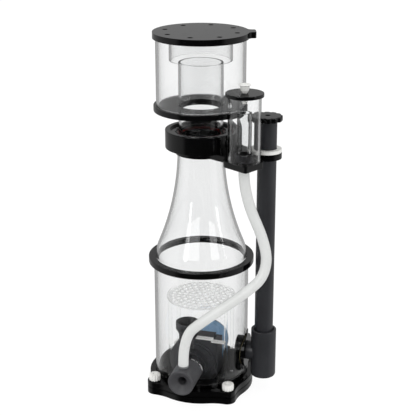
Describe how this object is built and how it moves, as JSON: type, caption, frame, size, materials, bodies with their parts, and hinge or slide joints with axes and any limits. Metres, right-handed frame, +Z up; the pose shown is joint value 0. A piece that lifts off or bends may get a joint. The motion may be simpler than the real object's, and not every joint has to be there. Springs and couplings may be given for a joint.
{
  "type": "protein skimmer",
  "caption": "Cone-body protein skimmer with an inside needle-wheel pump, lift-off collection cup, air silencer and turning outlet standpipe",
  "frame": {"origin": "centre of the foot's underside, on the axis of the clear body", "axes": "+Z up along the body axis, +X towards the outlet tee and standpipe, -Y towards the intake nozzle"},
  "size_m": [0.1835, 0.175, 0.5],
  "materials": {
    "black_acrylic": "gloss",
    "clear_acrylic": "clear gloss",
    "charcoal_pvc": "satin",
    "white_nylon": "satin",
    "grey_barb": "satin",
    "hub_plastic": "satin",
    "clear_silicone": "milky",
    "red_silicone": "satin",
    "black_rubber": "matte",
    "gasket_sheet": "matte",
    "pump_grey": "satin",
    "white_seal": "matte",
    "motor_blue": "satin",
    "needle_white": "satin",
    "magnet": "matte",
    "shaft_ceramic": "polished",
    "bush_rubber": "matte"
  },
  "bodies": {
    "stand": {"air_hose": "clear_silicone", "base_gasket": "black_rubber", "base_o_ring": "black_rubber", "base_plate": "black_acrylic", "body_flange": "black_acrylic", "body_ring": "black_acrylic", "body_tube": "clear_acrylic", "bracket_plate": "black_acrylic", "bubble_plate": "clear_acrylic", "bubble_plate_legs": "clear_acrylic", "cable_gland": "black_rubber", "collar_socket": "clear_acrylic", "front_bush": "bush_rubber", "intake_nozzle": "charcoal_pvc", "motor_end_cap": "pump_grey", "motor_housing": "motor_blue", "neck_collar": "black_acrylic", "neck_cone": "clear_acrylic", "neck_seal": "red_silicone", "nozzle_barb": "grey_barb", "outlet_flange": "charcoal_pvc", "outlet_gasket": "gasket_sheet", "outlet_nut": "charcoal_pvc", "outlet_tee": "charcoal_pvc", "pump_cradle": "pump_grey", "pump_feet": "black_rubber", "pump_outlet_pipe": "pump_grey", "pump_strap": "white_seal", "rear_bush": "bush_rubber", "ring_gasket": "black_rubber", "silencer_barb": "grey_barb", "silencer_cap": "black_acrylic", "silencer_hub": "hub_plastic", "silencer_inner_tube": "clear_acrylic", "silencer_tube": "clear_acrylic", "volute_body": "pump_grey", "volute_cover": "pump_grey"},
    "cup": {"cup_riser": "clear_acrylic", "cup_base_plate": "black_acrylic", "cup_wall": "clear_acrylic"},
    "lid": {"cup_lid": "black_acrylic", "lid_deflector": "clear_acrylic"},
    "valve_pipe": {"standpipe": "charcoal_pvc", "standpipe_knob": "black_acrylic", "standpipe_collar": "white_nylon"},
    "air_valve": {"air_valve_knob": "white_nylon"},
    "impeller": {"needle_wheel": "needle_white", "magnet_rotor": "magnet", "impeller_shaft": "shaft_ceramic"},
    "screw_1": {"thumbscrew_1": "white_nylon"},
    "screw_2": {"thumbscrew_2": "white_nylon"},
    "screw_3": {"thumbscrew_3": "white_nylon"},
    "screw_4": {"thumbscrew_4": "white_nylon"}
  },
  "joints": [
    {"name": "cup_lift", "type": "slide", "parent": "stand", "child": "cup", "axis": [0, 0, 1], "range_m": [0, 0.06]},
    {"name": "lid_lift", "type": "slide", "parent": "cup", "child": "lid", "axis": [0, 0, 1], "range_m": [0, 0.045]},
    {"name": "standpipe_turn", "type": "hinge", "parent": "stand", "child": "valve_pipe", "pos_m": [0.0898, 0, 0.2], "axis": [0, 0, 1], "range_deg": [0, 180]},
    {"name": "air_valve_turn", "type": "hinge", "parent": "stand", "child": "air_valve", "pos_m": [0.0712, -0.0506, 0.43], "axis": [0, 0, 1], "range_deg": [0, 360]},
    {"name": "impeller_spin", "type": "hinge", "parent": "stand", "child": "impeller", "pos_m": [0, 0, 0.045], "axis": [0, -1, 0], "continuous": true},
    {"name": "thumbscrew_1_turn", "type": "hinge", "parent": "stand", "child": "screw_1", "pos_m": [0.05275, 0.05275, 0.01], "axis": [0, 0, 1], "range_deg": [0, 2880]},
    {"name": "thumbscrew_2_turn", "type": "hinge", "parent": "stand", "child": "screw_2", "pos_m": [-0.05275, 0.05275, 0.01], "axis": [0, 0, 1], "range_deg": [0, 2880]},
    {"name": "thumbscrew_3_turn", "type": "hinge", "parent": "stand", "child": "screw_3", "pos_m": [-0.05275, -0.05275, 0.01], "axis": [0, 0, 1], "range_deg": [0, 2880]},
    {"name": "thumbscrew_4_turn", "type": "hinge", "parent": "stand", "child": "screw_4", "pos_m": [0.05275, -0.05275, 0.01], "axis": [0, 0, 1], "range_deg": [0, 2880]}
  ]
}
